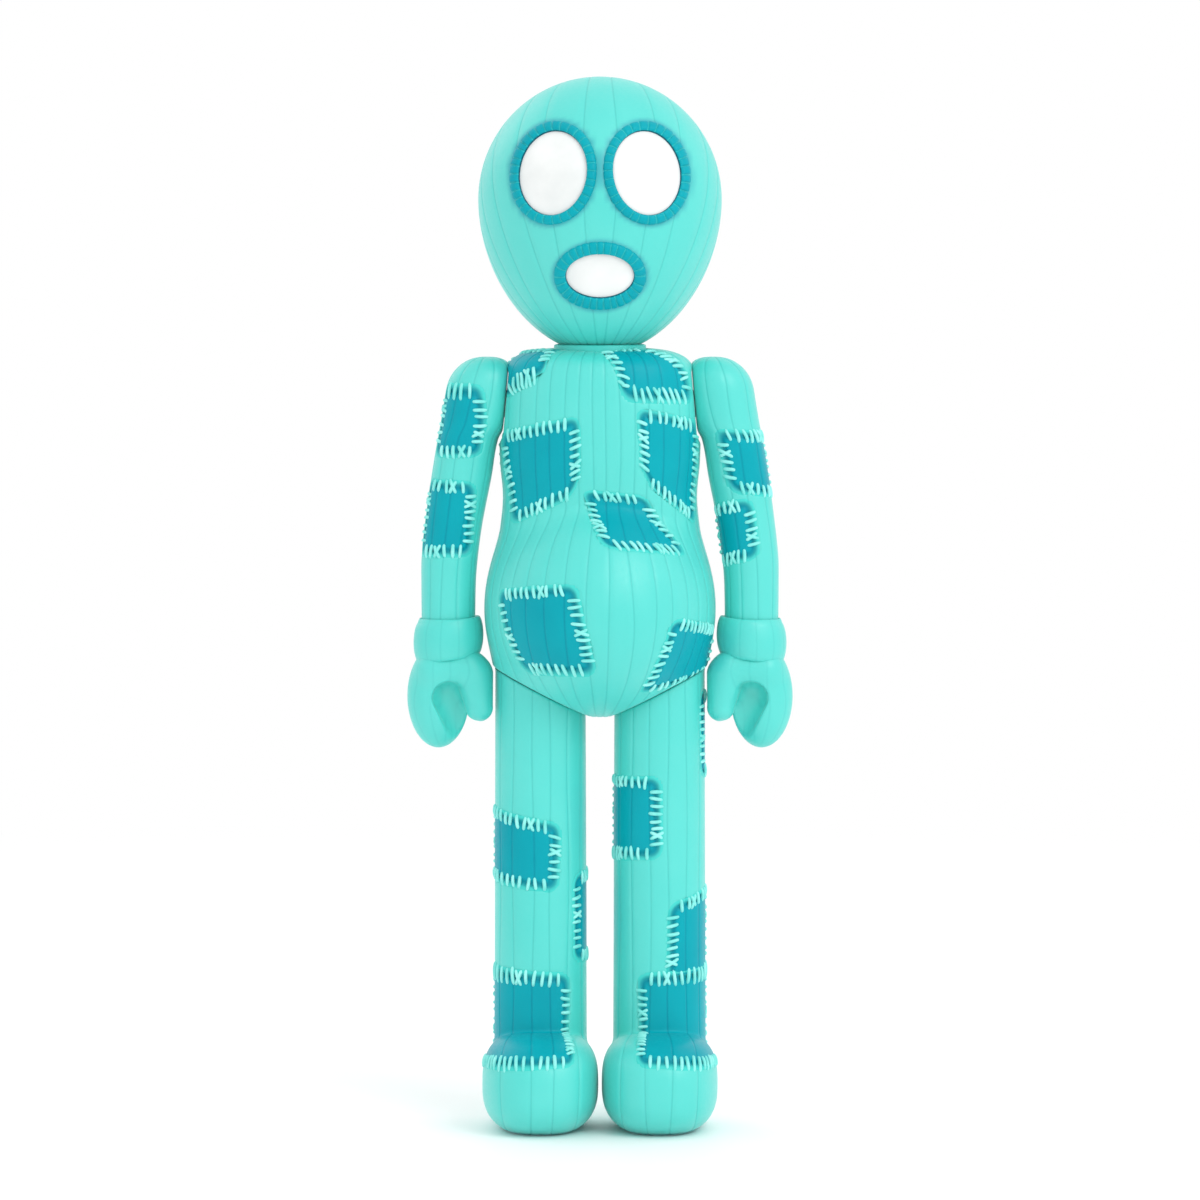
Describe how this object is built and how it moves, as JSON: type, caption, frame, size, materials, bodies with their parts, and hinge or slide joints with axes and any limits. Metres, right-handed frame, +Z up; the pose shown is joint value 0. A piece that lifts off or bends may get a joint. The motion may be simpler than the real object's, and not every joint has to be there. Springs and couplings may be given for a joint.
{
  "type": "articulated vinyl figure",
  "caption": "Standing patchwork vinyl doll with a masked egg-shaped head, pot belly and mitten hands, swivelling at neck, shoulders, wrists and hips.",
  "frame": {"origin": "floor level under the middle of the figure's bounding box", "axes": "+Z up, -Y the way the face looks, +X the figure's own left"},
  "size_m": [0.1402, 0.09, 0.38],
  "materials": {
    "mint_vinyl": "satin",
    "teal_binding": "satin",
    "white_insert": "satin",
    "joint_plastic": "smooth"
  },
  "bodies": {
    "torso": {"torso_shell": "mint_vinyl", "neck_socket_ring": "joint_plastic", "shoulder_socket_ring_right": "joint_plastic", "shoulder_socket_ring_left": "joint_plastic", "hip_socket_ring_right": "joint_plastic", "hip_socket_ring_left": "joint_plastic"},
    "head": {"head_shell": "mint_vinyl", "eye_insert_right": "white_insert", "eye_insert_left": "white_insert", "mouth_insert": "white_insert", "eye_rim_right": "teal_binding", "eye_rim_left": "teal_binding", "mouth_rim": "teal_binding", "neck_peg": "joint_plastic"},
    "arm_right": {"arm_shell_right": "mint_vinyl", "shoulder_peg_right": "joint_plastic", "wrist_socket_ring_right": "joint_plastic"},
    "hand_right": {"hand_right": "mint_vinyl", "wrist_peg_right": "joint_plastic"},
    "leg_right": {"leg_shell_right": "mint_vinyl", "hip_peg_right": "joint_plastic"},
    "arm_left": {"arm_shell_left": "mint_vinyl", "shoulder_peg_left": "joint_plastic", "wrist_socket_ring_left": "joint_plastic"},
    "hand_left": {"hand_left": "mint_vinyl", "wrist_peg_left": "joint_plastic"},
    "leg_left": {"leg_shell_left": "mint_vinyl", "hip_peg_left": "joint_plastic"}
  },
  "joints": [
    {"name": "neck_turn", "type": "hinge", "parent": "torso", "child": "head", "pos_m": [0, 0.001, 0.28115], "axis": [0, 0, 1], "continuous": true},
    {"name": "shoulder_right", "type": "hinge", "parent": "torso", "child": "arm_right", "pos_m": [-0.0342, 0.001, 0.262], "axis": [-0.9962, 0, 0.0872], "range_deg": [-120, 120]},
    {"name": "wrist_right", "type": "hinge", "parent": "arm_right", "child": "hand_right", "pos_m": [-0.055, 0.001, 0.18305], "axis": [0, 0, 1], "continuous": true},
    {"name": "shoulder_left", "type": "hinge", "parent": "torso", "child": "arm_left", "pos_m": [0.0342, 0.001, 0.262], "axis": [-0.9962, 0, -0.0872], "range_deg": [-120, 120]},
    {"name": "wrist_left", "type": "hinge", "parent": "arm_left", "child": "hand_left", "pos_m": [0.055, 0.001, 0.18305], "axis": [0, 0, 1], "continuous": true},
    {"name": "hip_right", "type": "hinge", "parent": "torso", "child": "leg_right", "pos_m": [-0.0216, 0.001, 0.158], "axis": [-0.454, 0, -0.891], "range_deg": [0, 40]},
    {"name": "hip_left", "type": "hinge", "parent": "torso", "child": "leg_left", "pos_m": [0.0216, 0.001, 0.158], "axis": [-0.454, 0, 0.891], "range_deg": [0, 40]}
  ]
}
